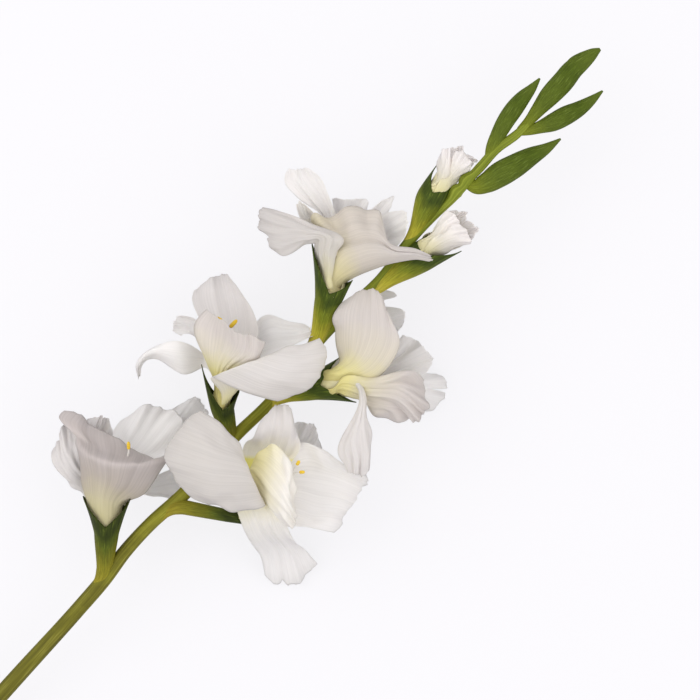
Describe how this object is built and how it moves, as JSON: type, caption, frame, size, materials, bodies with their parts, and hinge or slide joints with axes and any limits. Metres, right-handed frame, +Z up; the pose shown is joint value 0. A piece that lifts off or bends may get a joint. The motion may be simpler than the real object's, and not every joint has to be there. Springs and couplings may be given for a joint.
{
  "type": "gladiolus stem",
  "caption": "Cut gladiolus stem lying on its side: long round stalk, open white ruffled florets in green bracts on both sides, opening buds and slim green buds up to the tip.",
  "frame": {"origin": "centre of the bounding box at its bottom, on the table under the middle of the stem's length", "axes": "+X runs along the stalk from the cut end to the top bud, +Z is up from the table the stem lies on, +Y completes the right-handed frame"},
  "size_m": [0.6392, 0.1534, 0.0851],
  "materials": {
    "stalk_green": "satin",
    "bract_green": "satin",
    "bud_green": "satin",
    "petal_white": "matte",
    "stamen_cream": "matte"
  },
  "bodies": {
    "root": {"stalk": "stalk_green", "floret_1_petal_front": "petal_white", "floret_1_petal_left": "petal_white", "floret_1_petal_upper": "petal_white", "floret_1_petal_back": "petal_white", "floret_1_petal_lower": "petal_white", "floret_1_petal_far": "petal_white", "floret_1_stamens": "stamen_cream", "floret_2_petal_over": "petal_white", "floret_2_petal_centre": "petal_white", "floret_2_petal_right": "petal_white", "floret_2_petal_top": "petal_white", "floret_2_petal_back": "petal_white", "floret_2_petal_bottom": "petal_white", "floret_2_stamens": "stamen_cream", "floret_3_petal_front": "petal_white", "floret_3_petal_right": "petal_white", "floret_3_petal_left": "petal_white", "floret_3_petal_back": "petal_white", "floret_3_petal_lower": "petal_white", "floret_3_petal_far": "petal_white", "floret_3_stamens": "stamen_cream", "floret_4_petal_upper": "petal_white", "floret_4_petal_near": "petal_white", "floret_4_petal_far": "petal_white", "floret_4_petal_back": "petal_white", "floret_4_petal_tail": "petal_white", "floret_4_petal_under": "petal_white", "floret_4_stamens": "stamen_cream", "floret_5_petal_left": "petal_white", "floret_5_petal_front": "petal_white", "floret_5_petal_right": "petal_white", "floret_5_petal_lower": "petal_white", "floret_5_petal_inner": "petal_white", "floret_5_petal_top": "petal_white", "floret_5_stamens": "stamen_cream", "floret_1_bract_left": "bract_green", "floret_1_bract_right": "bract_green", "floret_2_bract_left": "bract_green", "floret_2_bract_right": "bract_green", "floret_3_bract_left": "bract_green", "floret_3_bract_right": "bract_green", "floret_4_bract_left": "bract_green", "floret_4_bract_right": "bract_green", "floret_5_bract_left": "bract_green", "floret_5_bract_right": "bract_green", "bud_1_bract_left": "bract_green", "bud_1_bract_right": "bract_green", "bud_2_bract_left": "bract_green", "bud_2_bract_right": "bract_green", "bud_3": "bud_green", "bud_4": "bud_green", "bud_5": "bud_green", "bud_6": "bud_green", "bud_1_petals": "petal_white", "bud_2_petals": "petal_white"}
  },
  "joints": []
}
